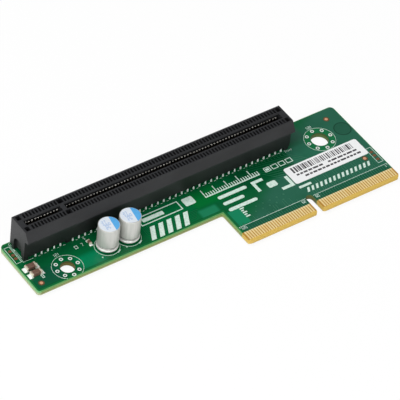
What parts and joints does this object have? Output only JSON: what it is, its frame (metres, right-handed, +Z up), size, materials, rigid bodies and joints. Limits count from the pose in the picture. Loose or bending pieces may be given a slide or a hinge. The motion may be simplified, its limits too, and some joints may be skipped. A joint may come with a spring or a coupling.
{
  "type": "pcie riser card",
  "caption": "L-shaped riser card with a long black card slot along its back, gold-fingered tongues with a key notch between them, mounting holes and small capacitors.",
  "frame": {"origin": "axis of the smaller mounting hole, beside the two can capacitors, at the underside of the board", "axes": "+X along the slot towards the larger mounting hole, +Y towards the slot's edge of the board, +Z up from the board's component side"},
  "size_m": [0.1123, 0.0328, 0.0135],
  "materials": {
    "circuit_board": "glass-epoxy laminate under green solder mask",
    "gold_fingers": "polished hard gold plate over nickel",
    "slot_housing": "moulded black glass-filled plastic",
    "slot_contacts": "stamped spring bronze, gold plated tips",
    "solder": "bright tin solder",
    "can": "coated drawn aluminium",
    "bung": "moulded black rubber",
    "leads": "tinned wire",
    "chip_ceramic": "fired brown ceramic",
    "end_caps": "tinned end caps",
    "paper_label": "white label stock",
    "copper_marks": "bare etched copper"
  },
  "bodies": {
    "root": {"circuit_board": "circuit_board", "edge_fingers_top_left": "gold_fingers", "edge_fingers_top_right": "gold_fingers", "edge_fingers_under_left": "gold_fingers", "edge_fingers_under_right": "gold_fingers", "slot_housing": "slot_housing", "slot_contacts_front_outer": "slot_contacts", "slot_contacts_front_inner": "slot_contacts", "slot_contacts_back_outer": "slot_contacts", "slot_contacts_back_inner": "slot_contacts", "solder_joints_front_outer": "solder", "solder_joints_front_inner": "solder", "solder_joints_back_outer": "solder", "solder_joints_back_inner": "solder", "capacitor_lead_joints": "solder", "capacitor_can_left": "can", "capacitor_can_right": "can", "capacitor_bung_left": "bung", "capacitor_bung_right": "bung", "capacitor_leads_left": "leads", "capacitor_leads_right": "leads", "chip_capacitor_back": "chip_ceramic", "chip_capacitor_front": "chip_ceramic", "small_chip_capacitor": "chip_ceramic", "chip_end_caps_back": "end_caps", "chip_end_caps_front": "end_caps", "small_chip_end_caps": "end_caps", "chip_solder_fillets": "solder", "paper_label": "paper_label", "sighting_marks": "copper_marks"}
  },
  "joints": []
}
